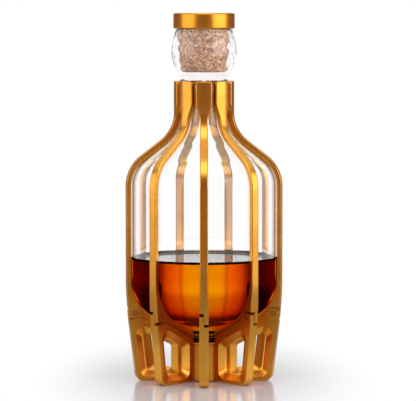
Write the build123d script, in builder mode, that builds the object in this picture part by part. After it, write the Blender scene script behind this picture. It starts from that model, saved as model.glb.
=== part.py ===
from build123d import *
from math import atan2, cos, radians, tan
import os

os.makedirs("parts", exist_ok=True)

# Shared
overrun = 4.0  # how far every cutting shape runs past what it cuts
half = 0.5
quarter_turn = 90.0
socket_sides = 6

# Cage: ribs and feet follow one outline of revolution about +Z
rib_count = 9
first_rib_angle = -90.0
cage_radius = 56.0
base_tuck = 7.0
knee_tuck = 1.5
cage_knee_height = 45.0
waist_rise = 21.0
body_rise = 85.8
shoulder_rise = 26.6
neck_rise = 34.1
cage_neck_radius = 21.4
base_bend = 6.0
knee_bend = 120.0
waist_bend = 150.0
shoulder_bend = 28.0
neck_bend = 24.0

# Ribs
rib_width = 5.8
rib_depth = 3.2
swell_rise = 4.1  # from the left lap's seam up to where the fin starts to slim
swell_length = 11.0
swell_bend = 60.0
paddle_width = 11.6
paddle_length = 17.0
paddle_flare = 9.0
paddle_bend = 9.0
paddle_corner = 1.8
edge_round = 0.7
sector_share = 0.9  # of half a pitch, the widest that a rib may be drawn
skin_share = 0.45  # how squarely a face looks outward to count as the cage's skin

# Half-lap joints: the two halves of each fin step at different heights
fin_thickness = 6.6
left_lap_drop = 0.3  # below the height where the bowl's slope would meet its wall
lap_step = 7.6
left_lip = 1.9
right_lip = 3.7
seam_gap = 0.4
lap_gap = 0.1
notch_height = 1.7
notch_length = 6.0

# Lap fasteners: a screw from one face into a barrel nut from the other
fastener_inset = 4.6
fastener_drop = 0.5  # below the middle between the two seams
fastener_head_radius = 2.2
fastener_head_height = 1.1
barrel_radius = 1.5
barrel_end_gap = 0.4
screw_radius = 0.85
socket_radius = 0.9
socket_depth = 0.7
fastener_gap = 0.12

# Foot windows
window_rim = 3.6
window_head = 4.0
window_sill = 2.8
window_inner_radius = 19.5
bevel_width = 4.2
bevel_depth = 2.35
window_corner = 5.5
opening_corner = 2.8

# Hub
hub_radius = 15.5
hub_height = 25.8
hub_foot_chamfer = 0.8
tongue_thickness = 3.0
tongue_depth = 2.6
tongue_height = 22.0
tongue_floor = 3.2
tongue_gap = 0.1
collar_groove = 0.5
collar_groove_depth = 1.6
collar_thickness = 1.8
collar_edge = 0.4
spigot_radius = 7.0
spigot_length = 9.0
spigot_gap = 0.15
hub_screw_radius = 2.0
hub_screw_head_radius = 3.8
hub_screw_head_height = 2.4
hub_screw_length = 16.0
hub_screw_socket_radius = 1.5
hub_screw_gap = 0.15

# Seat pad
pad_radius = 12.6
pad_thickness = 2.5
pad_edge = 0.5

# Bottle
glass_gap = 0.3
glass_wall = 2.8
neck_wall = 1.7
glass_floor = 7.4
glass_neck_gap = 1.2
bowl_slope = 25.8
bowl_apex_drop = 2.8  # below the seat, where the bowl's two slopes would meet
bowl_bend = 30.0
glass_foot_radius = 11.6
glass_foot_rise = 6.0
glass_foot_edge = 0.9
collar_lift = 2.8
collar_wide_rise = 18.3
collar_swell = 6.4
collar_flat_cut = 0.55
collar_flats = 24
collar_wall = 2.0
mouth_land = 4.0
lip_rise = 33.7
lip_swell = 3.4
lip_edge = 0.7
mouth_edge = 0.5

# Whisky
whisky_height = 86.0
whisky_gap = 0.05

# Stopper
lip_wall = 1.6
cork_taper = 2.3
cork_length = 30.4
cork_edge = 2.6
cork_gap = 0.15
cap_gap = 0.4
cap_overhang = 1.3
cap_height = 11.0
cap_top_edge = 1.3
cap_bottom_edge = 0.9
stem_radius = 5.5
stem_length = 12.0
stem_gap = 0.1

# Worked out from the sizes above
rib_pitch = 360 / rib_count
sector = half * rib_pitch * sector_share
cage_base_radius = cage_radius - base_tuck
cage_knee_radius = cage_radius - knee_tuck
cage_waist_height = cage_knee_height + waist_rise
cage_shoulder_height = cage_waist_height + body_rise
cage_neck_height = cage_shoulder_height + shoulder_rise
cage_top_height = cage_neck_height + neck_rise
paddle_full_height = cage_top_height - paddle_length
paddle_start_height = paddle_full_height - paddle_flare
fin_half = fin_thickness * half
rib_half = rib_width * half
paddle_half = paddle_width * half
bowl_angle = radians(bowl_slope)
shoulder_run = cage_radius - cage_neck_radius
shoulder_angle = atan2(shoulder_rise, shoulder_run)
glass_radius = cage_radius - rib_depth - glass_gap
collar_bottom_height = hub_height + collar_groove
collar_top_height = collar_bottom_height + collar_thickness
seat_height = collar_top_height + pad_thickness
bowl_apex_height = seat_height - bowl_apex_drop
left_lap_height = bowl_apex_height + glass_radius * tan(bowl_angle) - left_lap_drop
right_lap_height = left_lap_height - lap_step
fastener_height = half * (left_lap_height + right_lap_height) - fastener_drop
rib_swell_height = left_lap_height + swell_rise
rib_slim_height = rib_swell_height + swell_length
glass_neck_radius = cage_neck_radius - rib_depth - glass_neck_gap
collar_foot_height = cage_top_height + collar_lift
collar_wide_height = collar_foot_height + collar_wide_rise
collar_wide_radius = glass_neck_radius + collar_swell
collar_flat_radius = collar_wide_radius - collar_flat_cut
lip_height = collar_foot_height + lip_rise
lip_radius = glass_neck_radius + lip_swell
cork_top_radius = lip_radius - lip_wall
cork_bottom_radius = cork_top_radius - cork_taper
mouth_radius = cork_top_radius + cork_gap
mouth_height = lip_height - mouth_land
hollow_foot_radius = glass_neck_radius - neck_wall
hollow_wide_radius = collar_wide_radius - collar_wall
cap_radius = lip_radius + cap_overhang
cap_bottom_height = lip_height + cap_gap
cork_bottom_height = cap_bottom_height - cork_length
base_lean = (cage_knee_radius - cage_base_radius) / cage_knee_height
waist_lean = (cage_radius - cage_knee_radius) / (cage_waist_height - cage_knee_height)
fastener_reach = (
    cage_knee_radius + (fastener_height - cage_knee_height) * waist_lean - fastener_inset
)
fastener_grip = fin_thickness - 2 * fastener_head_height
hub_inside = hub_radius - tongue_depth


def radial_plane(angle):
    """Upright plane through the axis, its x outward at the angle and its y up."""
    outward = Vector(1, 0, 0).rotate(Axis.Z, angle)
    return Plane(origin=(0, 0, 0), x_dir=outward, z_dir=outward.rotate(Axis.Z, -quarter_turn))


def facing_plane(angle):
    """Upright plane through the axis, its normal outward at the angle and its y up."""
    outward = Vector(1, 0, 0).rotate(Axis.Z, angle)
    return Plane(origin=(0, 0, 0), x_dir=outward.rotate(Axis.Z, quarter_turn), z_dir=outward)


def rectangle_between(inner, outer, low, high):
    """Upright rectangle between two radii and two heights."""
    with BuildSketch() as area:
        with Locations((inner, low)):
            Rectangle(outer - inner, high - low, align=(Align.MIN, Align.MIN))
    return area.sketch


def shoulder_height_at(radius, depth):
    """Height of the line that lies depth inside the cage's sloping shoulder."""
    return (
        cage_shoulder_height
        + (cage_radius - radius) * tan(shoulder_angle)
        - depth / cos(shoulder_angle)
    )


def bottle_outline(swell, floor_swell, neck_swell):
    """Half outline of the bottle's body and neck, grown by a swell at wall, floor and neck."""
    body = glass_radius + swell
    neck = glass_neck_radius + neck_swell
    depth = rib_depth + glass_gap - swell
    apex = bowl_apex_height - floor_swell / cos(bowl_angle)
    top = lip_height + overrun
    with BuildSketch() as outline:
        with BuildLine():
            FilletPolyline(
                (0, apex),
                (body, apex + body * tan(bowl_angle)),
                (body, shoulder_height_at(body, depth)),
                (neck, shoulder_height_at(neck, depth)),
                (neck, top),
                radius=[
                    bowl_bend + swell,
                    shoulder_bend - rib_depth - glass_gap + swell,
                    neck_bend + rib_depth + glass_gap - swell,
                ],
            )
            Polyline((neck, top), (0, top), (0, apex))
        make_face()
    return outline.sketch


def under_lap(height, lip):
    """What lies under a lap: below its height, and deeper than its lip under the bowl."""
    with BuildSketch() as area:
        add(rectangle_between(0, cage_radius + overrun, -overrun, height))
        add(bottle_outline(glass_gap + lip, glass_gap + lip, glass_gap), mode=Mode.SUBTRACT)
    return area.sketch


with BuildSketch() as cage_outline:
    with BuildLine():
        FilletPolyline(
            (0, 0),
            (cage_base_radius, 0),
            (cage_knee_radius, cage_knee_height),
            (cage_radius, cage_waist_height),
            (cage_radius, cage_shoulder_height),
            (cage_neck_radius, cage_neck_height),
            (cage_neck_radius, cage_top_height),
            radius=[base_bend, knee_bend, waist_bend, shoulder_bend, neck_bend],
        )
        Polyline((cage_neck_radius, cage_top_height), (0, cage_top_height), (0, 0))
    make_face()

bottle_clearance = bottle_outline(glass_gap, glass_gap, glass_gap)
bottle_cavity = bottle_outline(-glass_wall, -glass_floor, -neck_wall)

# Each half of a fin: the way it turns from the radial plane, its lap height and its lip
fin_halves = (
    (-1, left_lap_height, left_lip),
    (1, right_lap_height, right_lip),
)


def fastener_faces(angle):
    """The right and left faces of a fin at its fastener, normals out of the metal."""
    plane = radial_plane(angle)
    centre = plane.from_local_coords(Vector(fastener_reach, fastener_height, 0))
    right = Plane(origin=centre - plane.z_dir * fin_half, x_dir=plane.x_dir, z_dir=-plane.z_dir)
    left = Plane(origin=centre + plane.z_dir * fin_half, x_dir=plane.x_dir, z_dir=plane.z_dir)
    return right, left


def fastener_cavity(angle):
    """Counterbores in both faces of a fin and the barrel's hole between them."""
    right, left = fastener_faces(angle)
    with BuildPart() as cavity:
        for face in (right, left):
            with BuildSketch(face):
                Circle(fastener_head_radius + fastener_gap)
            extrude(amount=-fastener_head_height)
        with BuildSketch(right):
            Circle(barrel_radius + fastener_gap)
        extrude(amount=-fin_thickness)
    return cavity.part


def skin_edges(part, angle):
    """Long edges of a rib's or foot's outer skin, which run along its two sides."""
    outward = Vector(1, 0, 0).rotate(Axis.Z, angle)
    across = outward.rotate(Axis.Z, quarter_turn)
    skin = part.faces().filter_by(lambda face: face.normal_at().dot(outward) > skin_share)
    sides = part.faces().filter_by(lambda face: abs(face.normal_at().dot(across)) > skin_share)
    side_edges = sides.edges()
    return skin.edges().filter_by(lambda edge: edge in side_edges)


def make_rib(number):
    """One rib: paddle at the neck, bar over the body, lapped web under the bowl."""
    angle = first_rib_angle + number * rib_pitch
    with BuildPart() as rib:
        with BuildSketch(radial_plane(angle - sector)):
            add(cage_outline.sketch)
            add(bottle_clearance, mode=Mode.SUBTRACT)
            add(rectangle_between(0, hub_radius, 0, cage_waist_height), mode=Mode.SUBTRACT)
        revolve(axis=Axis.Z, revolution_arc=2 * sector)
        with BuildSketch(facing_plane(angle)):
            with BuildLine():
                FilletPolyline(
                    (0, 0),
                    (fin_half, 0),
                    (fin_half, rib_swell_height),
                    (rib_half, rib_slim_height),
                    (rib_half, paddle_start_height),
                    (paddle_half, paddle_full_height),
                    (paddle_half, cage_top_height),
                    (0, cage_top_height),
                    radius=[0, swell_bend, swell_bend, paddle_bend, paddle_bend, paddle_corner],
                )
                mirror(about=Plane.YZ)
            make_face()
        extrude(amount=cage_radius + overrun, mode=Mode.INTERSECT)
        fillet(skin_edges(rib.part, angle), radius=edge_round)
        for turn, lap_height, lip in fin_halves:
            with BuildSketch(radial_plane(angle)):
                add(under_lap(lap_height, lip))
            half_axis = Axis((0, 0, 0), (0, 0, turn))
            revolve(axis=half_axis, revolution_arc=sector, mode=Mode.SUBTRACT)
        add(fastener_cavity(angle), mode=Mode.SUBTRACT)
    rib.part.label = f"rib_{number + 1}"
    return rib.part


def window_outline(inset, corner):
    """A foot's window, drawn in by an inset from the edge of its bevel."""
    inner = window_inner_radius + inset
    sill = window_sill + inset
    outer_at_floor = cage_base_radius - (window_rim + inset) / cos(atan2(base_lean, 1))
    head = right_lip + glass_gap + seam_gap + window_head + inset
    head_at_axis = bowl_apex_height - head / cos(bowl_angle)
    rise = tan(bowl_angle)
    corner_height = (head_at_axis + rise * outer_at_floor) / (1 - rise * base_lean)
    with BuildSketch() as window:
        with BuildLine():
            Polyline(
                (inner, sill),
                (outer_at_floor + base_lean * sill, sill),
                (outer_at_floor + base_lean * corner_height, corner_height),
                (inner, head_at_axis + rise * inner),
                close=True,
            )
        make_face()
        fillet(window.vertices(), radius=corner)
    return window.sketch


def notch_outline(height):
    """Wedge that opens a lap's seam towards the outside of the fin."""
    reach = fastener_reach + fastener_inset
    slope = notch_height / notch_length
    with BuildSketch() as notch:
        with BuildLine():
            Polyline(
                (reach - notch_length, height),
                (reach + overrun, height),
                (reach + overrun, height - notch_height - slope * overrun),
                close=True,
            )
        make_face()
    return notch.sketch


def make_foot(number):
    """One foot: a windowed fin lapped to its rib and tongued into the hub."""
    angle = first_rib_angle + number * rib_pitch
    plane = radial_plane(angle)
    with BuildPart() as foot:
        for start, lap_height, lip in (
            (-fin_half, right_lap_height, right_lip),
            (lap_gap, left_lap_height, left_lip),
        ):
            top = lap_height - seam_gap
            swell = glass_gap + lip + seam_gap
            with BuildSketch(plane.offset(start)):
                add(cage_outline.sketch)
                add(rectangle_between(hub_inside, cage_radius, 0, top), mode=Mode.INTERSECT)
                add(bottle_outline(swell, swell, glass_gap), mode=Mode.SUBTRACT)
                add(notch_outline(top), mode=Mode.SUBTRACT)
            extrude(amount=fin_half - start)
        with BuildSketch():
            Circle(hub_radius + tongue_gap)
        extrude(amount=cage_knee_height, mode=Mode.SUBTRACT)
        fillet(skin_edges(foot.part, angle), radius=edge_round)
        with BuildSketch(plane):
            add(window_outline(bevel_width, opening_corner))
        extrude(amount=fin_half, both=True, mode=Mode.SUBTRACT)
        for side in (-1, 1):
            with BuildSketch(plane.offset(side * fin_half)):
                add(window_outline(0, window_corner))
            with BuildSketch(plane.offset(side * (fin_half - bevel_depth))):
                add(window_outline(bevel_width, opening_corner))
            loft(ruled=True, mode=Mode.SUBTRACT)
        with BuildSketch(plane):
            tongue_end = half * (hub_radius + window_inner_radius)
            tongue_top = tongue_floor + tongue_height
            add(rectangle_between(hub_inside, tongue_end, tongue_floor, tongue_top))
        extrude(amount=tongue_thickness * half, both=True)
        add(fastener_cavity(angle), mode=Mode.SUBTRACT)
    foot.part.label = f"foot_{number + 1}"
    return foot.part


for number in range(rib_count):
    rib = make_rib(number)
    export_step(rib, f"parts/{rib.label}.step")
    foot = make_foot(number)
    export_step(foot, f"parts/{foot.label}.step")

# Lap screws: heads in the right faces, shanks inside the barrel nuts
with BuildPart() as lap_screws:
    for number in range(rib_count):
        face = fastener_faces(first_rib_angle + number * rib_pitch)[0]
        with BuildSketch(face):
            Circle(fastener_head_radius)
        extrude(amount=-fastener_head_height)
        with BuildSketch(face):
            Circle(screw_radius)
        extrude(amount=-(fastener_head_height + fastener_grip - barrel_end_gap))
        with BuildSketch(face):
            RegularPolygon(socket_radius, socket_sides)
        extrude(amount=-socket_depth, mode=Mode.SUBTRACT)
lap_screws.part.label = "lap_screws"
export_step(lap_screws.part, "parts/lap_screws.step")

# Lap nuts: heads in the left faces, barrels through both halves of the lap
with BuildPart() as lap_nuts:
    for number in range(rib_count):
        right, left = fastener_faces(first_rib_angle + number * rib_pitch)
        with BuildSketch(left):
            Circle(fastener_head_radius)
        extrude(amount=-fastener_head_height)
        with BuildSketch(left.offset(-fastener_head_height)):
            Circle(barrel_radius)
            Circle(screw_radius + fastener_gap, mode=Mode.SUBTRACT)
        extrude(amount=-(fastener_grip - barrel_end_gap))
        with BuildSketch(left):
            RegularPolygon(socket_radius, socket_sides)
        extrude(amount=-socket_depth, mode=Mode.SUBTRACT)
lap_nuts.part.label = "lap_nuts"
export_step(lap_nuts.part, "parts/lap_nuts.step")

# Hub: column between the feet, slotted for their tongues
with BuildPart() as hub:
    with BuildSketch():
        Circle(hub_radius)
    extrude(amount=hub_height)
    chamfer(hub.edges().group_by(Axis.Z)[0], length=hub_foot_chamfer)
    with BuildSketch(Plane.XY.offset(tongue_floor)):
        with PolarLocations(hub_radius, rib_count, start_angle=first_rib_angle):
            Rectangle(2 * (tongue_depth + tongue_gap), tongue_thickness + 2 * tongue_gap)
    extrude(amount=hub_height, mode=Mode.SUBTRACT)
    with BuildSketch(Plane.XY.offset(hub_height)):
        Circle(spigot_radius + spigot_gap)
    extrude(amount=-(spigot_length + spigot_gap), mode=Mode.SUBTRACT)
    with BuildSketch(Plane.XY.offset(collar_top_height)):
        Circle(hub_screw_radius + hub_screw_gap)
    extrude(amount=-(hub_screw_head_height + hub_screw_length + hub_screw_gap), mode=Mode.SUBTRACT)
hub.part.label = "hub"
export_step(hub.part, "parts/hub.step")

# Hub collar: clamps the tongues down, with a shadow groove over the hub
with BuildPart() as hub_collar:
    with BuildSketch(Plane.XY.offset(hub_height)):
        Circle(hub_radius - collar_groove_depth)
    extrude(amount=collar_groove)
    with BuildSketch(Plane.XY.offset(collar_bottom_height)):
        Circle(hub_radius)
    extrude(amount=collar_thickness)
    chamfer(hub_collar.edges().group_by(Axis.Z)[-1], length=collar_edge)
    with BuildSketch(Plane.XY.offset(hub_height)):
        Circle(spigot_radius)
    extrude(amount=-spigot_length)
    with BuildSketch(Plane.XY.offset(collar_top_height)):
        Circle(hub_screw_head_radius + hub_screw_gap)
    extrude(amount=-hub_screw_head_height, mode=Mode.SUBTRACT)
    with BuildSketch(Plane.XY.offset(collar_top_height)):
        Circle(hub_screw_radius + hub_screw_gap)
    extrude(amount=-(hub_height + spigot_length), mode=Mode.SUBTRACT)
hub_collar.part.label = "hub_collar"
export_step(hub_collar.part, "parts/hub_collar.step")

# Hub screw: holds the collar down from above, its head under the seat pad
with BuildPart() as hub_screw:
    with BuildSketch(Plane.XY.offset(collar_top_height)):
        Circle(hub_screw_head_radius)
    extrude(amount=-hub_screw_head_height)
    with BuildSketch(Plane.XY.offset(collar_top_height)):
        Circle(hub_screw_radius)
    extrude(amount=-(hub_screw_head_height + hub_screw_length))
    with BuildSketch(Plane.XY.offset(collar_top_height)):
        RegularPolygon(hub_screw_socket_radius, socket_sides)
    extrude(amount=-hub_screw_head_height * half, mode=Mode.SUBTRACT)
hub_screw.part.label = "hub_screw"
export_step(hub_screw.part, "parts/hub_screw.step")

# Seat pad: the bottle's foot rests on it
with BuildPart() as seat_pad:
    with BuildSketch(Plane.XY.offset(collar_top_height)):
        Circle(pad_radius)
    extrude(amount=pad_thickness)
    chamfer(seat_pad.edges().filter_by(GeomType.CIRCLE), length=pad_edge)
seat_pad.part.label = "seat_pad"
export_step(seat_pad.part, "parts/seat_pad.step")


def swell_radius(run, rise):
    """Radius of an arc that leaves an upright line and moves in by run over a rise."""
    return (run ** 2 + rise ** 2) / (2 * run)


# Bottle: bowl, body, shoulder and neck in one revolve, with a hollow faceted collar at the mouth
with BuildSketch() as collar_outline:
    lower_arc = swell_radius(
        collar_wide_radius - glass_neck_radius, collar_wide_height - collar_foot_height
    )
    upper_arc = swell_radius(collar_wide_radius - lip_radius, lip_height - collar_wide_height)
    with BuildLine():
        foot_arc = RadiusArc(
            (glass_neck_radius, collar_foot_height),
            (collar_wide_radius, collar_wide_height),
            -lower_arc,
        )
        lip_arc = RadiusArc(foot_arc @ 1, (lip_radius, lip_height), -upper_arc)
        Polyline(lip_arc @ 1, (0, lip_height), (0, collar_foot_height), foot_arc @ 0)
    make_face()

with BuildSketch() as collar_hollow:
    lower_arc = swell_radius(
        hollow_wide_radius - hollow_foot_radius, collar_wide_height - collar_foot_height
    )
    upper_arc = swell_radius(hollow_wide_radius - mouth_radius, mouth_height - collar_wide_height)
    with BuildLine():
        hollow_foot_arc = RadiusArc(
            (hollow_foot_radius, collar_foot_height),
            (hollow_wide_radius, collar_wide_height),
            -lower_arc,
        )
        mouth_arc = RadiusArc(hollow_foot_arc @ 1, (mouth_radius, mouth_height), -upper_arc)
        Polyline(
            mouth_arc @ 1,
            (mouth_radius, cap_bottom_height),
            (0, cap_bottom_height),
            (0, collar_foot_height),
            hollow_foot_arc @ 0,
        )
    make_face()

with BuildPart() as glass_bottle:
    with BuildSketch(Plane.XZ):
        add(bottle_outline(0, 0, 0))
        add(rectangle_between(0, glass_radius, lip_height, lip_height + 2 * overrun), mode=Mode.SUBTRACT)
        add(collar_outline.sketch)
        add(rectangle_between(0, glass_foot_radius, seat_height, seat_height + glass_foot_rise))
        add(rectangle_between(0, glass_radius, 0, seat_height), mode=Mode.SUBTRACT)
        add(bottle_cavity, mode=Mode.SUBTRACT)
        add(collar_hollow.sketch, mode=Mode.SUBTRACT)
    revolve(axis=Axis.Z)
    with BuildSketch(Plane.XY.offset(collar_foot_height)):
        Circle(collar_wide_radius + overrun)
        RegularPolygon(collar_flat_radius, collar_flats, major_radius=False, mode=Mode.SUBTRACT)
    extrude(amount=lip_height - collar_foot_height, mode=Mode.SUBTRACT)
    lip_edges = glass_bottle.edges().filter_by(GeomType.CIRCLE).group_by(Axis.Z)[-1]
    fillet(lip_edges.sort_by(SortBy.RADIUS)[-1], radius=lip_edge)
    lip_edges = glass_bottle.edges().filter_by(GeomType.CIRCLE).group_by(Axis.Z)[-1]
    fillet(lip_edges.sort_by(SortBy.RADIUS)[0], radius=mouth_edge)
    fillet(glass_bottle.edges().filter_by(GeomType.CIRCLE).group_by(Axis.Z)[0], radius=glass_foot_edge)
glass_bottle.part.label = "glass_bottle"
export_step(glass_bottle.part, "parts/glass_bottle.step")

# Whisky: fills the bowl up to its level
with BuildPart() as whisky:
    with BuildSketch(Plane.XZ):
        add(bottle_outline(-glass_wall - whisky_gap, -glass_floor - whisky_gap, -neck_wall))
        add(rectangle_between(0, glass_radius, 0, whisky_height), mode=Mode.INTERSECT)
    revolve(axis=Axis.Z)
whisky.part.label = "whisky"
export_step(whisky.part, "parts/whisky.step")

# Cork: tapered plug with a blind hole for the cap's stem
with BuildPart() as cork:
    with BuildSketch(Plane.XZ):
        with BuildLine():
            FilletPolyline(
                (0, cork_bottom_height),
                (cork_bottom_radius, cork_bottom_height),
                (cork_top_radius, cap_bottom_height),
                radius=[cork_edge],
            )
            Polyline(
                (cork_top_radius, cap_bottom_height),
                (0, cap_bottom_height),
                (0, cork_bottom_height),
            )
        make_face()
    revolve(axis=Axis.Z)
    with BuildSketch(Plane.XY.offset(cap_bottom_height)):
        Circle(stem_radius + stem_gap)
    extrude(amount=-(stem_length + stem_gap), mode=Mode.SUBTRACT)
cork.part.label = "cork"
export_step(cork.part, "parts/cork.step")

# Stopper cap: solid disc with rounded edges and a stem down into the cork
with BuildPart() as stopper_cap:
    with BuildSketch(Plane.XY.offset(cap_bottom_height)):
        Circle(cap_radius)
    extrude(amount=cap_height)
    fillet(stopper_cap.edges().group_by(Axis.Z)[-1], radius=cap_top_edge)
    fillet(stopper_cap.edges().group_by(Axis.Z)[0], radius=cap_bottom_edge)
    with BuildSketch(Plane.XY.offset(cap_bottom_height)):
        Circle(stem_radius)
    extrude(amount=-stem_length)
stopper_cap.part.label = "stopper_cap"
export_step(stopper_cap.part, "parts/stopper_cap.step")
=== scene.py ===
"""Whisky decanter: a clear bottle in a gold anodised cage of nine ribs, dressed on its frame."""

import logging
import math
from dataclasses import dataclass
from enum import Enum
from typing import Callable, Sequence

import bmesh
import bpy
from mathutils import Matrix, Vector


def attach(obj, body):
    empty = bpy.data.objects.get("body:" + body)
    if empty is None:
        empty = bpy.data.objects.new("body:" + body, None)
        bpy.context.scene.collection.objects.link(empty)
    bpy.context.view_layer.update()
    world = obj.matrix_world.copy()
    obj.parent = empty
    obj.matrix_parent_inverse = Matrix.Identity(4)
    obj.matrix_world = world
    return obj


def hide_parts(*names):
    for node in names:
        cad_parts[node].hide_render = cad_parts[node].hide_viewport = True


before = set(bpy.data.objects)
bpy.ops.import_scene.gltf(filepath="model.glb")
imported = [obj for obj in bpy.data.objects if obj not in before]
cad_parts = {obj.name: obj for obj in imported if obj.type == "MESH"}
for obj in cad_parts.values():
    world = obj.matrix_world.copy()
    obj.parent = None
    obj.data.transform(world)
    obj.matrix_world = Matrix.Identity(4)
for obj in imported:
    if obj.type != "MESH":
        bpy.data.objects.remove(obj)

LOG = logging.getLogger("decanter")
MM = 0.001
FULL_TURN = 2 * math.pi
MERGE_DISTANCE = 0.002 * MM
Point = tuple[float, float]
Colour = tuple[float, float, float, float]
Stops = tuple[tuple[float, str], ...]
Face = bmesh.types.BMFace
Material = bpy.types.Material
Piece = bpy.types.Object
Socket = bpy.types.NodeSocket
Tree = bpy.types.NodeTree


# Meshes


@dataclass(frozen=True)
class Corner:
    """A corner of a turned outline: its radius and height in mm, and the bend that rounds it."""

    radius: float
    height: float
    bend: float = 0.0


def rounded(corners: Sequence[Corner], step: float = 6.0) -> list[Point]:
    """Draws an outline through its corners, with an arc at each corner that has a bend.

    Args:
        corners: The outline's corners from its start to its end.
        step: Degrees that each piece of an arc turns by.

    Returns:
        Points of radius and height in mm.
    """
    points: list[Point] = [(corners[0].radius, corners[0].height)]
    for before, corner, after in zip(corners, corners[1:], corners[2:]):
        here = Vector((corner.radius, corner.height))
        back = (Vector((before.radius, before.height)) - here).normalized()
        ahead = (Vector((after.radius, after.height)) - here).normalized()
        opening = back.angle(ahead)
        turn = math.pi - opening
        if corner.bend == 0 or turn < math.radians(1):
            points.append((corner.radius, corner.height))
            continue
        tangent = corner.bend * math.tan(turn / 2)
        centre = here + (back + ahead).normalized() * corner.bend / math.sin(opening / 2)
        start = here + back * tangent - centre
        side = 1 if back.x * ahead.y - back.y * ahead.x < 0 else -1
        pieces = max(2, math.ceil(math.degrees(turn) / step))
        for piece in range(pieces + 1):
            angle = side * turn * piece / pieces
            across = start.x * math.cos(angle) - start.y * math.sin(angle)
            up = start.x * math.sin(angle) + start.y * math.cos(angle)
            points.append((centre.x + across, centre.y + up))
    points.append((corners[-1].radius, corners[-1].height))
    return points


def bulge(foot: Point, wide: Point, lip: Point, pieces: int = 10) -> list[Point]:
    """Draws a swollen outline from a foot through its widest place to a lip.

    Args:
        foot: Radius and height where the swelling starts.
        wide: Radius and height of its widest place, where it runs upright.
        lip: Radius and height where it ends.
        pieces: Pieces in each of the two curves.

    Returns:
        Points of radius and height in mm.
    """
    points: list[Point] = []
    radius, height = wide
    for piece in range(pieces + 1):
        share = 1 - piece / pieces
        points.append((radius - (radius - foot[0]) * share**2, height - (height - foot[1]) * share))
    for piece in range(1, pieces + 1):
        share = piece / pieces
        points.append((radius - (radius - lip[0]) * share**2, height + (lip[1] - height) * share))
    return points


def start_piece(name: str) -> Piece:
    """Names the primitive that was just added and puts its place into its mesh."""
    piece = bpy.context.object
    piece.name = name
    piece.data.name = name
    bpy.ops.object.transform_apply(location=True, rotation=True, scale=True)
    return piece


def deselect() -> None:
    """Deselects every object, so that the next operator acts on the new piece alone."""
    if bpy.context.object is not None and bpy.context.object.mode != "OBJECT":
        bpy.ops.object.mode_set(mode="OBJECT")
    bpy.ops.object.select_all(action="DESELECT")


def pick_faces(piece: Piece, wanted: Callable[[Face], bool]) -> int:
    """Selects the faces of a piece in edit mode that a test says yes to.

    Args:
        piece: A mesh object in edit mode.
        wanted: Test of one face.

    Returns:
        How many faces are selected.
    """
    bpy.ops.mesh.select_mode(type="FACE")
    bpy.ops.mesh.select_all(action="DESELECT")
    mesh = bmesh.from_edit_mesh(piece.data)
    count = 0
    for face in mesh.faces:
        if not face.hide and wanted(face):
            face.select_set(True)
            count += 1
    bmesh.update_edit_mesh(piece.data)
    return count


def lathe(name: str, outline: Sequence[Point], steps: int, smooth: float = 30.0) -> Piece:
    """Turns an outline round the Z axis, as on a lathe.

    Args:
        name: The piece's name.
        outline: Points of radius and height in mm, from axis to axis or closed.
        steps: Steps in the full turn.
        smooth: Degrees up to which neighbouring faces are shaded as one.

    Returns:
        The turned mesh object, with its place in its mesh.
    """
    deselect()
    first = outline[0]
    bpy.ops.mesh.primitive_plane_add(size=MM, location=(first[0] * MM, 0, first[1] * MM))
    piece = start_piece(name)
    bpy.ops.object.mode_set(mode="EDIT")
    bpy.ops.mesh.select_mode(type="VERT")
    bpy.ops.mesh.select_all(action="SELECT")
    bpy.ops.mesh.merge(type="CENTER")
    for here, after in zip(outline, outline[1:]):
        step = ((after[0] - here[0]) * MM, 0, (after[1] - here[1]) * MM)
        bpy.ops.mesh.extrude_region_move(TRANSFORM_OT_translate={"value": step})
    bpy.ops.mesh.select_all(action="SELECT")
    bpy.ops.mesh.spin(steps=steps, angle=FULL_TURN, center=(0, 0, 0), axis=(0, 0, 1))
    bpy.ops.mesh.select_all(action="SELECT")
    bpy.ops.mesh.remove_doubles(threshold=MERGE_DISTANCE)
    bpy.ops.mesh.normals_make_consistent(inside=False)
    bpy.ops.object.mode_set(mode="OBJECT")
    bpy.ops.object.shade_smooth_by_angle(angle=math.radians(smooth))
    return piece


def dent(piece: Piece, name: str, size_mm: float, depth_mm: float, group: str = "") -> None:
    """Sinks a piece's skin in small cells, as facets or chips do.

    Args:
        piece: The mesh object that was made last, still selected.
        name: The pattern's name.
        size_mm: Size of a cell.
        depth_mm: How deep the skin sinks from a cell's middle to its edge.
        group: Vertex group with the share of the depth, or empty for the whole depth everywhere.
    """
    cells = bpy.data.textures.new(name, "VORONOI")
    cells.noise_scale = size_mm * MM
    displace = piece.modifiers.new(name, "DISPLACE")
    displace.texture = cells
    displace.texture_coords = "LOCAL"
    displace.vertex_group = group
    displace.direction = "NORMAL"
    displace.strength = -depth_mm * MM
    displace.mid_level = 0.0
    bpy.ops.object.modifier_apply(modifier=name)


# Finishes


def linear(code: str) -> Colour:
    """Turns an sRGB hex value such as C88232 to linear red, green, blue and alpha."""
    shares = [int(code[place:place + 2], 16) / 255 for place in (0, 2, 4)]
    red, green, blue = (s / 12.92 if s <= 0.04045 else ((s + 0.055) / 1.055) ** 2.4 for s in shares)
    return (red, green, blue, 1.0)


def socket(sockets: bpy.types.bpy_prop_collection, key: str) -> Socket:
    """Finds the socket of that name that is in use, as Mix nodes name several alike."""
    return next(s for s in sockets if s.name == key and s.enabled)


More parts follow.
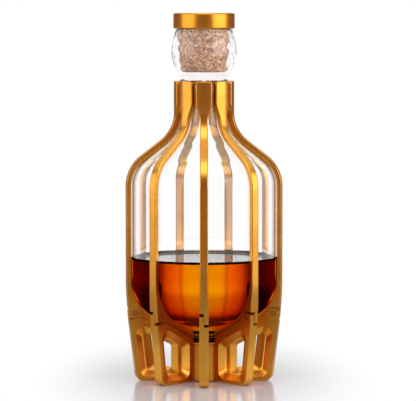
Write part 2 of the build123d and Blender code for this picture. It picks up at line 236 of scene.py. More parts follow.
def add_node(
    tree: Tree,
    kind: str,
    settings: dict[str, object] | None = None,
    values: dict[str, object] | None = None,
    links: dict[str, Socket] | None = None,
) -> bpy.types.Node:
    """Adds a node to a tree with its settings, values and links.

    Args:
        tree: The node tree.
        kind: The node's type name after ShaderNode.
        settings: Properties of the node, set first.
        values: Socket values by socket name.
        links: Output sockets of other nodes by the name of the input that they feed.

    Returns:
        The new node.
    """
    node = tree.nodes.new("ShaderNode" + kind)
    for key, value in (settings or {}).items():
        setattr(node, key, value)
    for key, value in (values or {}).items():
        socket(node.inputs, key).default_value = value
    for key, source in (links or {}).items():
        tree.links.new(source, socket(node.inputs, key))
    return node


def maths(
    tree: Tree, operation: str, first: Socket, second: Socket | float = 0.0, clamp: bool = False
) -> Socket:
    """Adds a Math node.

    Args:
        tree: The node tree.
        operation: What it works out.
        first: The output that it starts from.
        second: Another output or a number, where the operation takes two.
        clamp: Whether the result stays from 0 to 1.

    Returns:
        The result's output.
    """
    settings = {"operation": operation, "use_clamp": clamp}
    node = add_node(tree, "Math", settings, links={"Value": first})
    if isinstance(second, float):
        node.inputs[1].default_value = second
    else:
        tree.links.new(second, node.inputs[1])
    return node.outputs["Value"]


def length(tree: Tree, vector: Socket) -> Socket:
    """Adds the length of a vector."""
    settings = {"operation": "LENGTH"}
    return add_node(tree, "VectorMath", settings, links={"Vector": vector}).outputs["Value"]


def ranged(
    tree: Tree, value: Socket, start: Point, end: Point = (0.0, 1.0), shape: str = "LINEAR"
) -> Socket:
    """Adds a Map Range node.

    Args:
        tree: The node tree.
        value: The output that it maps.
        start: The range that it maps from.
        end: The range that it maps to.
        shape: How it goes from one end to the other.

    Returns:
        The mapped output.
    """
    node = add_node(
        tree, "MapRange", {"interpolation_type": shape},
        {"From Min": start[0], "From Max": start[1], "To Min": end[0], "To Max": end[1]},
        {"Value": value},
    )
    return node.outputs["Result"]


def ramp(tree: Tree, factor: Socket, stops: Stops) -> Socket:
    """Adds a colour ramp with the given stops.

    Args:
        tree: The node tree.
        factor: What drives the ramp.
        stops: Place from 0 to 1 and sRGB hex value of each stop.

    Returns:
        The colour output.
    """
    node = add_node(tree, "ValToRGB", links={"Fac": factor})
    elements = node.color_ramp.elements
    while len(elements) < len(stops):
        elements.new(0.5)
    for element, (place, code) in zip(elements, stops):
        element.position = place
        element.color = linear(code)
    return node.outputs["Color"]


def blend(tree: Tree, kind: str, share: float, under: Socket, over: Socket) -> Socket:
    """Adds a Mix node that lays one colour over another.

    Args:
        tree: The node tree.
        kind: The blend type.
        share: How strongly the upper colour counts.
        under: The lower colour.
        over: The upper colour.

    Returns:
        The colour output.
    """
    settings = {"data_type": "RGBA", "blend_type": kind}
    node = add_node(tree, "Mix", settings, {"Factor": share}, {"A": under, "B": over})
    return socket(node.outputs, "Result")


def either(tree: Tree, share: Socket, first: Socket, second: Socket) -> Socket:
    """Adds a Mix Shader node.

    Args:
        tree: The node tree.
        share: An output that is 0 for the first shader and 1 for the second.
        first: The first shader.
        second: The second shader.

    Returns:
        The mixed shader's output.
    """
    node = add_node(tree, "MixShader", links={"Fac": share})
    tree.links.new(first, node.inputs[1])
    tree.links.new(second, node.inputs[2])
    return node.outputs["Shader"]


def new_material(name: str) -> tuple[Material, Tree]:
    """Makes an empty material and gives it with its node tree."""
    material = bpy.data.materials.new(name)
    material.use_nodes = True
    material.node_tree.nodes.clear()
    return material, material.node_tree


def object_place(tree: Tree) -> Socket:
    """Adds Object coordinates, in m."""
    return add_node(tree, "TexCoord").outputs["Object"]


def per_metre(size_mm: float) -> float:
    """Scale of a noise or cell pattern whose features are that many mm wide."""
    return 1 / (size_mm * MM)


def noise(
    tree: Tree, place: Socket, size_mm: float, detail: float, roughness: float = 0.5
) -> bpy.types.Node:
    """Adds a noise texture whose features are that many mm wide."""
    values = {"Scale": per_metre(size_mm), "Detail": detail, "Roughness": roughness}
    return add_node(tree, "TexNoise", values=values, links={"Vector": place})


def relief(tree: Tree, height: Socket, strength: float, depth_mm: float) -> Socket:
    """Adds a bump that many mm deep and gives its normal."""
    values = {"Strength": strength, "Distance": depth_mm * MM}
    return add_node(tree, "Bump", values=values, links={"Height": height}).outputs["Normal"]


def finish(tree: Tree, surface: Socket) -> None:
    """Ends a material with its surface."""
    add_node(tree, "OutputMaterial", links={"Surface": surface})


def lamp_lit(tree: Tree, shader: Socket, tint: str) -> Socket:
    """Lets the lamps' light straight through a clear surface, where it would cast a black shadow.

    Args:
        tree: The node tree.
        shader: The clear surface's shader.
        tint: Colour that the lamps' light takes on.

    Returns:
        The mixed shader's output.
    """
    straight = add_node(tree, "BsdfTransparent", values={"Color": linear(tint)}).outputs["BSDF"]
    return either(tree, add_node(tree, "LightPath").outputs["Is Shadow Ray"], shader, straight)


@dataclass(frozen=True)
class AnodisedAluminium:
    """Aluminium, bead blasted and then anodised gold: an even satin sheen with a fine grain."""

    name: str = "gold_anodised_aluminium"
    light: str = "E8A83A"
    deep: str = "D6942B"
    roughness: float = 0.26
    roughness_swing: float = 0.04
    cloud_mm: float = 18.0
    grain_mm: float = 0.45  # the blasted grain is nearer 0.1 mm, too fine to show here
    grain_share: float = 0.12
    grain_depth: float = 0.012
    grain_strength: float = 0.25

    def build(self) -> Material:
        """Makes the material: clouded gold with a blasted grain in colour, gloss and bump."""
        material, tree = new_material(self.name)
        place = object_place(tree)
        cloud = noise(tree, place, self.cloud_mm, 3.0, 0.55)
        grain = noise(tree, place, self.grain_mm, 2.0, 0.6)
        tone = ramp(tree, cloud.outputs["Fac"], ((0.3, self.deep), (0.7, self.light)))
        speckled = blend(tree, "SOFT_LIGHT", self.grain_share, tone, grain.outputs["Color"])
        least, most = self.roughness - self.roughness_swing, self.roughness + self.roughness_swing
        shader = add_node(
            tree, "BsdfPrincipled",
            values={"Metallic": 1.0, "Coat Weight": 0.35, "Coat IOR": 1.6, "Coat Roughness": 0.3},
            links={
                "Base Color": speckled,
                "Roughness": ranged(tree, grain.outputs["Fac"], (0.0, 1.0), (least, most)),
                "Normal": relief(tree, grain.outputs["Fac"], self.grain_strength, self.grain_depth),
            },
        )
        finish(tree, shader.outputs["BSDF"])
        return material


@dataclass(frozen=True)
class TurnedAluminium:
    """Aluminium, turned and then anodised gold: fine rings from the tool, round the Z axis."""

    name: str = "gold_turned_aluminium"
    light: str = "E8A83A"
    deep: str = "D3912C"
    roughness: float = 0.3
    roughness_swing: float = 0.05
    ring_mm: float = 0.5  # the tool's real feed is about 0.1 mm, too fine to show here
    ring_depth: float = 0.006
    ring_strength: float = 0.3

    def build(self) -> Material:
        """Makes the material: rings by radius and height, in colour, gloss and bump."""
        material, tree = new_material(self.name)
        parts = add_node(tree, "SeparateXYZ", links={"Vector": object_place(tree)})
        flat = {"X": parts.outputs["X"], "Y": parts.outputs["Y"]}
        radius = length(tree, add_node(tree, "CombineXYZ", links=flat).outputs["Vector"])
        rings = add_node(
            tree, "TexNoise", {"noise_dimensions": "1D"},
            {"Scale": per_metre(self.ring_mm), "Detail": 2.0},
            {"W": maths(tree, "ADD", radius, parts.outputs["Z"])},
        ).outputs["Fac"]
        least, most = self.roughness - self.roughness_swing, self.roughness + self.roughness_swing
        shader = add_node(
            tree, "BsdfPrincipled", values={"Metallic": 1.0},
            links={
                "Base Color": ramp(tree, rings, ((0.3, self.deep), (0.7, self.light))),
                "Roughness": ranged(tree, rings, (0.0, 1.0), (least, most)),
                "Normal": relief(tree, rings, self.ring_strength, self.ring_depth),
            },
        )
        finish(tree, shader.outputs["BSDF"])
        return material


@dataclass(frozen=True)
class ClearGlass:
    """Borosilicate glass, mould blown and fire polished: clear, its walls slightly wavy."""

    name: str = "clear_glass"
    tint: str = "FFFFFF"
    quiet: bool = False  # mirrors nothing, for the glass that the whisky wets or stands behind
    ior: float = 1.47
    wave_mm: float = 22.0
    wave_depth: float = 0.05
    wave_strength: float = 0.3

    def build(self) -> Material:
        """Makes the material: wavy clear glass that lets the lamps' light through."""
        material, tree = new_material(self.name)
        wave = noise(tree, object_place(tree), self.wave_mm, 1.0)
        normal = relief(tree, wave.outputs["Fac"], self.wave_strength, self.wave_depth)
        if self.quiet:
            glass = add_node(
                tree, "BsdfRefraction",
                values={"Color": linear(self.tint), "Roughness": 0.0, "IOR": self.ior},
                links={"Normal": normal},
            )
        else:
            glass = add_node(
                tree, "BsdfPrincipled",
                values={
                    "Base Color": linear(self.tint), "Roughness": 0.0,
                    "IOR": self.ior, "Transmission Weight": 1.0,
                },
                links={"Normal": normal},
            )
        finish(tree, lamp_lit(tree, glass.outputs["BSDF"], self.tint))
        return material


@dataclass(frozen=True)
class Whisky:
    """Whisky: clear amber liquid that turns red and then nearly black where it is deep."""

    name: str = "whisky_amber"
    body: str = "F5D951"
    lamp_side: str = "F2B04A"
    wetting: bool = False  # against the glass it mirrors nothing
    density: float = 120.0  # per m, times what each channel of body lacks to 1
    ior: float = 1.36
    haze_mm: float = 30.0
    haze: Stops = ((0.35, "FFFBF4"), (0.65, "FFFFFF"))

    def build(self) -> Material:
        """Makes the material: a smooth surface over a volume that takes out blue and green."""
        material, tree = new_material(self.name)
        cloud = noise(tree, object_place(tree), self.haze_mm, 1.0)
        tone = ramp(tree, cloud.outputs["Fac"], self.haze)
        if self.wetting:
            polish = {"Roughness": 0.0, "IOR": self.ior}
            liquid = add_node(tree, "BsdfRefraction", values=polish, links={"Color": tone})
        else:
            liquid = add_node(
                tree, "BsdfPrincipled",
                values={"Roughness": 0.0, "IOR": self.ior, "Transmission Weight": 1.0},
                links={"Base Color": tone},
            )
        surface = lamp_lit(tree, liquid.outputs["BSDF"], self.lamp_side)
        depth = {"Color": linear(self.body), "Density": self.density}
        volume = add_node(tree, "VolumeAbsorption", values=depth).outputs["Volume"]
        add_node(tree, "OutputMaterial", links={"Surface": surface, "Volume": volume})
        return material


@dataclass(frozen=True)
class AgglomeratedCork:
    """Cork granules pressed and glued: pale and dark grains with fine dark seams between them."""

    name: str = "agglomerated_cork"
    grain_mm: float = 1.5
    grains: Stops = ((0.0, "7E4E2C"), (0.35, "A97850"), (0.75, "C08E68"), (1.0, "DDB28C"))
    fleck_mm: float = 0.8
    flecks: Stops = ((0.36, "7A5238"), (0.5, "FFFFFF"))
    fleck_share: float = 0.7
    seams: Stops = ((0.0, "8A6347"), (0.09, "FFFFFF"))
    seam_share: float = 0.75
    seam_width: float = 0.15
    seam_depth: float = 0.12
    seam_strength: float = 0.6
    roughness: float = 0.85

    def build(self) -> Material:
        """Makes the material: granules as cells of different browns, with sunken seams."""
        material, tree = new_material(self.name)
        place = object_place(tree)
        size = {"Scale": per_metre(self.grain_mm), "Randomness": 1.0}
        cells = add_node(tree, "TexVoronoi", values=size, links={"Vector": place})
        shade = add_node(tree, "SeparateColor", links={"Color": cells.outputs["Color"]})
        tone = ramp(tree, shade.outputs["Red"], self.grains)
        spots = noise(tree, place, self.fleck_mm, 4.0, 0.7)
        fleck_tone = ramp(tree, spots.outputs["Fac"], self.flecks)
        freckled = blend(tree, "MULTIPLY", self.fleck_share, tone, fleck_tone)
        gaps = add_node(
            tree, "TexVoronoi", {"feature": "DISTANCE_TO_EDGE"}, size, {"Vector": place}
        ).outputs["Distance"]
        seamed = blend(tree, "MULTIPLY", self.seam_share, freckled, ramp(tree, gaps, self.seams))
        rise = ranged(tree, gaps, (0.0, self.seam_width))
        shader = add_node(
            tree, "BsdfPrincipled", values={"Roughness": self.roughness},
            links={
                "Base Color": seamed,
                "Normal": relief(tree, rise, self.seam_strength, self.seam_depth),
            },
        )
        finish(tree, shader.outputs["BSDF"])
        return material


@dataclass(frozen=True)
class MouldedRubber:
    """Silicone rubber, compression moulded: near black and dull, with a faint leathery skin."""

    name: str = "moulded_rubber"
    light: str = "2A211C"
    deep: str = "15100D"
    roughness: float = 0.6
    skin_mm: float = 1.2
    skin_depth: float = 0.03
    skin_strength: float = 0.4

    def build(self) -> Material:
        """Makes the material: clouded black with a fine skin."""
        material, tree = new_material(self.name)
        skin = noise(tree, object_place(tree), self.skin_mm, 3.0).outputs["Fac"]
        shader = add_node(
            tree, "BsdfPrincipled", values={"Roughness": self.roughness},
            links={
                "Base Color": ramp(tree, skin, ((0.35, self.deep), (0.65, self.light))),
                "Normal": relief(tree, skin, self.skin_strength, self.skin_depth),
            },
        )
        finish(tree, shader.outputs["BSDF"])
        return material


# Sub-assemblies


class Body(Enum):
    """The CAD bodies that pieces ride on."""

    DECANTER = "decanter"
    STOPPER = "stopper"


class Slot(Enum):
    """The record's material slots that the new pieces belong to."""

    CAP = "gold_cap"
    GLASS = "bottle_glass"
    WHISKY = "whisky_liquid"
    CORK = "cork"


def dress(piece: Piece, material: Material) -> None:
    """Gives a piece or a CAD node one material all over."""
    if not piece.material_slots:
        piece.data.materials.append(material)
    for place in piece.material_slots:
        place.material = material


def coat(piece: Piece, material: Material, wanted: Callable[[Face], bool]) -> None:
    """Gives some faces of a piece a second material.

    Args:
        piece: A mesh object that is dressed already.
        material: The second material.
        wanted: Test of one face.
    """
    deselect()
    bpy.context.view_layer.objects.active = piece
    piece.select_set(True)
    piece.data.materials.append(material)
    piece.active_material_index = len(piece.data.materials) - 1
    bpy.ops.object.mode_set(mode="EDIT")
    count = pick_faces(piece, wanted)
    bpy.ops.object.material_slot_assign()
    bpy.ops.object.mode_set(mode="OBJECT")
    LOG.info("%s: %d faces in %s", piece.name, count, material.name)


def seat(piece: Piece, body: Body, slot: Slot, *nodes: str) -> None:
    """Puts a finished piece on its body, in place of CAD nodes.

    Args:
        piece: The finished piece.
        body: The body that it rides on.
        slot: The record's slot that its finish belongs to; not used.
        nodes: CAD nodes that it stands for.
    """
    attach(piece, body.value)
    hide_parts(*nodes)
    LOG.info("%s replaces %s, %d faces", piece.name, ", ".join(nodes), len(piece.data.polygons))


@dataclass
class Cage:
    """Ribs, windowed feet and their cross fasteners."""

    rib_count: int = 9

    def dress_parts(self) -> None:
        """Gives the ribs, feet and fasteners their anodised finishes."""
        gold = AnodisedAluminium().build()
        for number in range(1, self.rib_count + 1):
            for kind in ("rib", "foot"):
                name = f"{kind}_{number}"
                dress(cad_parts[name], gold)
                LOG.info("%s dressed", name)
        fastener = AnodisedAluminium("gold_fastener_aluminium", "D6943A", "BE7C2A").build()
        for name in ("lap_screws", "lap_nuts"):
            dress(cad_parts[name], fastener)
            LOG.info("%s dressed", name)


@dataclass
class Hub:
    """Column between the feet, with its collar, screw and seat pad."""

    def dress_parts(self) -> None:
        """Gives the hub's pieces their finishes."""
        turned = TurnedAluminium("gold_hub_aluminium", "D8963A", "C5832E").build()
        steel = TurnedAluminium("turned_steel", "C9C7C3", "A8A6A2").build()
        rubber = MouldedRubber().build()
        for name, material in (
            ("hub", turned), ("hub_collar", turned), ("hub_screw", steel), ("seat_pad", rubber)
        ):
            dress(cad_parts[name], material)
            LOG.info("%s dressed", name)


@dataclass
class Bottle:
    """Clear bottle with a bowl floor and a faceted collar, and the whisky in it. Sizes in mm."""

    wall: float = 2.8
    neck_wall: float = 1.7
    floor: float = 7.4
    radius: float = 52.5
    neck_radius: float = 17.0
    slope: float = 25.8
    apex: float = 27.8
    bowl_bend: float = 30.0
    shoulder_height: float = 150.6
    neck_height: float = 177.9
    shoulder_bend: float = 24.5
    neck_bend: float = 27.5
    seat_height: float = 30.6
    foot_radius: float = 11.6
    foot_edge: float = 0.9
    # the glass within this radius and under this height is tinted amber as painted light from the
    # whisky above
    painted_amber_radius: float = 20.0
    painted_amber_height: float = 34.2
    collar_foot: float = 215.3
    collar_wide: float = 233.6
    collar_radius: float = 23.4
    collar_pieces: int = 26
    facet_size: float = 4.2
    facet_depth: float = 0.55
    facet_fade: float = 9.0
    facet_start: float = 0.3  # of facet_fade, above the collar's foot
    lip_height: float = 249.0
    lip_radius: float = 20.4
    lip_edge: float = 0.7
    mouth_edge: float = 0.5
    mouth_radius: float = 18.93
    mouth_land: float = 4.0
    mouth_bend: float = 3.0
    collar_wall: float = 2.0
    level: float = 86.3
    meniscus_rise: float = 2.0
    meniscus_run: float = 2.6
    meniscus_curve: float = 2.2
    meniscus_pieces: int = 8
    contact: float = 0.06
    steps: int = 192

    def rise(self) -> float:
        """How much the bowl's slope climbs for each mm outwards."""
        return math.tan(math.radians(self.slope))

    def inner_apex(self, floor_inset: float) -> float:
        """Height at the axis of a surface that far inside the bowl's under side."""
        return self.apex + floor_inset / math.cos(math.radians(self.slope))

    def shell_corners(self, inset: float, neck_inset: float, floor_inset: float) -> list[Corner]:
        """Corners of the body's outline from the bowl to the neck, drawn in by insets.

        Args:
            inset: How far inside the outer wall.
            neck_inset: How far inside the neck.
            floor_inset: How far above the bowl's under side, square to its slope.

        Returns:
            The bowl's edge, the shoulder and the foot of the neck.
        """
        body = self.radius - inset
        neck = self.neck_radius - neck_inset
        apex = self.inner_apex(floor_inset)
        fall = (self.neck_height - self.shoulder_height) / (self.radius - self.neck_radius)
        lean = math.atan(fall)
        drop = inset / math.cos(lean)
        return [
            Corner(body, apex + body * self.rise(), self.bowl_bend - inset),
            Corner(body, self.shoulder_height + inset * fall - drop, self.shoulder_bend - inset),
            Corner(neck, self.neck_height + neck_inset * fall - drop, self.neck_bend + inset),
        ]

    def build_glass(self) -> Piece:
        """Turns the bottle's wall and facets the skin of its collar.

        Returns:
            The glass piece.
        """
        outside = rounded([
            Corner(0, self.seat_height),
            Corner(self.foot_radius, self.seat_height, self.foot_edge),
            Corner(self.foot_radius, self.apex + self.foot_radius * self.rise()),
            self.shell_corners(0, 0, 0)[0],
            Corner(self.radius, self.level + self.meniscus_rise),
            *self.shell_corners(0, 0, 0)[1:],
            Corner(self.neck_radius, self.collar_foot),
        ])
        collar = bulge(
            (self.neck_radius, self.collar_foot),
            (self.collar_radius, self.collar_wide),
            (self.lip_radius, self.lip_height - self.lip_edge),
            pieces=self.collar_pieces,
        )
        inside = self.shell_corners(self.wall, self.neck_wall, self.floor)
        mouth = rounded([
            Corner(self.lip_radius, self.lip_height - self.lip_edge),
            Corner(self.lip_radius, self.lip_height, self.lip_edge),
            Corner(self.mouth_radius, self.lip_height, self.mouth_edge),
            Corner(self.mouth_radius, self.lip_height - self.mouth_land, self.mouth_bend),
        ])
        hollow = bulge(
            (self.mouth_radius, self.lip_height - self.mouth_land),
            (self.collar_radius - self.collar_wall, self.collar_wide),
            (self.neck_radius - self.neck_wall, self.collar_foot),
        )
        within = rounded([
            Corner(self.neck_radius - self.neck_wall, self.collar_foot),
            *inside[:0:-1],
            Corner(self.radius - self.wall, self.level + self.meniscus_rise),
            inside[0],
            Corner(0, self.inner_apex(self.floor)),
        ])
        outline = outside[:-1] + collar + mouth[1:] + hollow[1:-1] + within
        glass = lathe("decanter_glass", outline, self.steps, smooth=40)
        self.hammer_collar(glass)
        return glass

    def hammer_collar(self, glass: Piece) -> None:
        """Covers the collar's outer skin with small shallow facets, as the mould leaves them."""
        low, high = self.collar_foot * MM, (self.lip_height - self.lip_edge) * MM
        skin = glass.vertex_groups.new(name="collar_skin")
        widest = self.collar_radius * MM
        for vertex in glass.data.vertices:
            outward = vertex.normal.xy.dot(vertex.co.xy) > 0
            if outward and low < vertex.co.z < high and vertex.co.xy.length < widest + MM:
                climb = (vertex.co.z - low) / (self.facet_fade * MM)
                skin.add([vertex.index], min(1.0, max(0.0, climb - self.facet_start)), "REPLACE")
        dent(glass, "collar_facets", self.facet_size, self.facet_depth, skin.name)

    def build_whisky(self) -> Piece:
        """Turns the whisky: in contact with the glass, its edge climbing the wall.

        Returns:
            The whisky piece.
        """
        inset = self.wall - self.contact
        inner = self.radius - inset
        floor = self.floor - self.contact
        under = rounded([
            Corner(0, self.inner_apex(floor)),
            self.shell_corners(inset, self.neck_wall, floor)[0],
            Corner(inner, self.level + self.meniscus_rise),
        ])
        climb = []
        for piece in range(self.meniscus_pieces + 1):
            share = piece / self.meniscus_pieces
            rise = self.meniscus_rise * (1 - share) ** self.meniscus_curve
            climb.append((inner - self.meniscus_run * share, self.level + rise))
        outline = under[:-1] + climb + [(0.0, self.level)]
        return lathe("decanter_whisky", outline, self.steps, smooth=50)

    def build(self) -> None:
        """Builds and dresses the bottle and its whisky."""
        glass = self.build_glass()
        dress(glass, ClearGlass().build())

        def is_quiet(face: Face) -> bool:
            """True for a face that the whisky touches or that lies outside of it on the bowl."""
            middle = face.calc_center_median()
            facing = face.normal.xy.dot(middle.xy)
            contact = facing < 0 and middle.z < (self.level + self.meniscus_rise) * MM
            under = facing > 0 and middle.xy.length < self.painted_amber_radius * MM
            return not under and (contact or (facing > 0 and middle.z < self.level * MM))

        def is_foot(face: Face) -> bool:
            """True for a face of the glass foot, tinted amber there as painted light from the
            whisky above it.
            """
            middle = face.calc_center_median()
            return middle.xy.length < self.painted_amber_radius * MM and middle.z < self.painted_amber_height * MM

        coat(glass, ClearGlass(name="quiet_glass", quiet=True).build(), is_quiet)
        # The clear foot's amber tint is painted light: it stands in for the whisky's light seen
        # through the foot.
        coat(glass, ClearGlass(name="foot_glass_painted_whisky_light", tint="C99560", quiet=True).build(), is_foot)
        seat(glass, Body.DECANTER, Slot.GLASS, "glass_bottle")
        whisky = self.build_whisky()
        dress(whisky, Whisky().build())
        above = Vector((0, 0, 2 * self.level * MM))

        def whisky_wetting(face: Face) -> bool:
            """True for a face of the whisky that touches the glass."""
            return (above - face.calc_center_median()).dot(face.normal) < 0

        coat(whisky, Whisky(name="whisky_against_glass", wetting=True).build(), whisky_wetting)
        seat(whisky, Body.DECANTER, Slot.WHISKY, "whisky")


@dataclass
class Stopper:
    """Tapered cork and the gold cap on it. Sizes in mm."""

    seam_height: float = 249.4
    cork_top_radius: float = 18.8
    cork_bottom_radius: float = 16.5
    cork_length: float = 30.4
    cork_edge: float = 2.6
    hole_radius: float = 5.6
    hole_depth: float = 12.1
    cork_rings: int = 34
    cork_edge_rings: int = 3  # left out where the bottom edge is rounded
    chip_depth: float = 0.14
    chip_size: float = 1.5
    cap_radius: float = 21.7
    cap_height: float = 11.0
    cap_top_edge: float = 1.3
    cap_bottom_edge: float = 0.9
    stem_radius: float = 5.5
    stem_length: float = 12.0
    steps: int = 160

    def build_cork(self) -> Piece:
        """Turns the cork and chips its skin a little between the granules.

        Returns:
            The cork piece.
        """
        bottom = self.seam_height - self.cork_length
        flare = self.cork_top_radius - self.cork_bottom_radius
        taper = [
            (
                self.cork_bottom_radius + flare * ring / self.cork_rings,
                bottom + self.cork_length * ring / self.cork_rings,
            )
            for ring in range(self.cork_edge_rings, self.cork_rings + 1)
        ]
        edge = rounded([
            Corner(0, bottom),
            Corner(self.cork_bottom_radius, bottom, self.cork_edge),
            Corner(taper[0][0], taper[0][1]),
        ])
        hole = [
            (self.hole_radius, self.seam_height),
            (self.hole_radius, self.seam_height - self.hole_depth),
            (0.0, self.seam_height - self.hole_depth),
        ]
        cork = lathe("stopper_cork", edge[:-1] + taper + hole, self.steps, smooth=50)
        dent(cork, "cork_chips", self.chip_size, self.chip_depth)
        return cork

    def build_cap(self) -> Piece:
        """Turns the cap: a disc with rounded edges over a plain stem.

        Returns:
            The cap piece.
        """
        top = self.seam_height + self.cap_height
        outline = rounded([
            Corner(0, self.seam_height - self.stem_length),
            Corner(self.stem_radius, self.seam_height - self.stem_length),
            Corner(self.stem_radius, self.seam_height),
            Corner(self.cap_radius, self.seam_height, self.cap_bottom_edge),
            Corner(self.cap_radius, top, self.cap_top_edge),
            Corner(0, top),
        ], step=12.0)
        return lathe("stopper_cap_turned", outline, self.steps, smooth=35)

    def build(self) -> None:
        """Builds and dresses the cork and the cap."""
        cork = self.build_cork()
        dress(cork, AgglomeratedCork().build())
        seat(cork, Body.STOPPER, Slot.CORK, "cork")
        cap = self.build_cap()
        dress(cap, TurnedAluminium().build())
        seat(cap, Body.STOPPER, Slot.CAP, "stopper_cap")


# Studio


def show_only(panel: Piece, in_metal: bool, in_glass: bool) -> None:
    """Leaves a studio panel visible only in reflections, or only through glass.

    Args:
        panel: The studio panel.
        in_metal: Whether reflections show it.
        in_glass: Whether it shows through glass.
    """
    panel.visible_camera = False
    panel.visible_diffuse = False
    panel.visible_shadow = False
    panel.visible_glossy = in_metal
    panel.visible_transmission = in_glass
    LOG.info("%s standing", panel.name)


def stand(name: str, data: bpy.types.ID, place: Vector, target: Vector) -> Piece:
    """Stands a lamp or the camera at a place, pointed at a target, and gives its object."""
    holder = bpy.data.objects.new(name, data)
    bpy.context.scene.collection.objects.link(holder)
    holder.location = place
    holder.rotation_euler = (target - place).to_track_quat("-Z", "Y").to_euler()
    return holder


@dataclass(frozen=True)
class Glow:
    """Light behind the whisky, seen through it: strong along some sides, dark between and above."""

    empty_surfaces: float = 4.5  # the empty bottle has 4, and the whisky adds more
    strength: float = 9.1
    mirrored: str = "423A2C"
    reach: float = 0.5
    across: Stops = (
        (0, "8AFFE7"), (0.07, "8AF9CB"), (0.1, "8AE3A3"),
        (0.12, "769A62"), (0.14, "86AE68"), (0.15, "85A059"),
        (0.22, "716A27"), (0.25, "573810"), (0.3, "2C1907"),
        (0.4, "100703"), (0.76, "2C1907"), (0.82, "684A18"),
        (0.88, "85A059"), (1.0, "8AE3A3"),
    )
    upward: Stops = (
        (0, "FFFFFF"), (0.065, "FFFFFF"), (0.09, "DDB3AA"),
        (0.12, "CE957C"), (0.145, "C4613F"), (0.165, "893027"),
        (0.18, "522119"), (0.235, "4D1D19"), (0.25, "AD5927"),
        (0.3, "955027"),
    )

    def colour(self, tree: Tree, parts: bpy.types.Node) -> Socket:
        """Adds the nodes that shade a panel by a place's slant from the nearest axis and height.

        Args:
            tree: The panel's node tree.
            parts: A Separate XYZ node of the place in m.

        Returns:
            The colour output, one plain colour for light that metal or the glass has mirrored.
        """
        side = maths(tree, "ABSOLUTE", parts.outputs["X"])
        depth = maths(tree, "ABSOLUTE", parts.outputs["Y"])
        less = maths(tree, "MINIMUM", side, depth)
        slant = maths(tree, "DIVIDE", less, maths(tree, "MAXIMUM", side, depth))
        height = maths(tree, "DIVIDE", parts.outputs["Z"], self.reach)
        heights = tuple((place / self.reach, code) for place, code in self.upward)
        both = blend(
            tree, "MULTIPLY", 1.0, ramp(tree, slant, self.across), ramp(tree, height, heights)
        )
        plain = add_node(
            tree, "Mix", {"data_type": "RGBA"}, {"B": linear(self.mirrored)},
            {"A": both, "Factor": add_node(tree, "LightPath").outputs["Glossy Depth"]},
        )
        return socket(plain.outputs, "Result")

    def through_whisky(self, tree: Tree) -> Socket:
        """Adds the nodes that tell light that has crossed the whisky from light that has not.

        Args:
            tree: The panel's node tree.

        Returns:
            An output of 1 after more surfaces than the empty bottle has, and 0 before.
        """
        surfaces = add_node(tree, "LightPath").outputs["Transmission Depth"]
        return maths(tree, "GREATER_THAN", surfaces, self.empty_surfaces)


@dataclass(frozen=True)
class GlowScreen:
    """Low round screen about the object that carries the whisky's glow. Sizes in m."""

    radius: float = 0.4
    height: float = 0.5

    def build(self) -> None:
        """Stands the screen on the floor round the object."""
        deselect()
        bpy.ops.mesh.primitive_cylinder_add(
            vertices=96, radius=self.radius, depth=self.height, end_fill_type="NOTHING",
            location=(0, 0, self.height / 2),
        )
        screen = start_piece("glow_screen")
        material, tree = new_material("glow_screen")
        light = Glow()
        parts = add_node(tree, "SeparateXYZ", links={"Vector": object_place(tree)})
        glow = add_node(
            tree, "Emission", values={"Strength": light.strength},
            links={"Color": light.colour(tree, parts)},
        )
        clear = add_node(tree, "BsdfTransparent").outputs["BSDF"]
        finish(tree, either(tree, light.through_whisky(tree), clear, glow.outputs["Emission"]))
        dress(screen, material)
        show_only(screen, in_metal=False, in_glass=True)


@dataclass(frozen=True)
class GleamCard:
    """White card on the whisky, seen from above and only by mirrored light. Sizes in m."""

    level: float = 0.0865
    radius: float = 0.047
    strength: float = 1.5

    def build(self) -> None:
        """Lays the card just over the liquid's face."""
        deselect()
        bpy.ops.mesh.primitive_circle_add(
            vertices=96, radius=self.radius, fill_type="NGON", location=(0, 0, self.level)
        )
        card = start_piece("gleam_card")
        material, tree = new_material("gleam_card")
        mirrored = maths(
            tree, "SUBTRACT", add_node(tree, "LightPath").outputs["Glossy Depth"],
            add_node(tree, "NewGeometry").outputs["Backfacing"], clamp=True,
        )
        clear = add_node(tree, "BsdfTransparent").outputs["BSDF"]
        gleam = add_node(tree, "Emission", values={"Strength": self.strength}).outputs["Emission"]
        finish(tree, either(tree, mirrored, clear, gleam))
        dress(card, material)
        show_only(card, in_metal=True, in_glass=True)


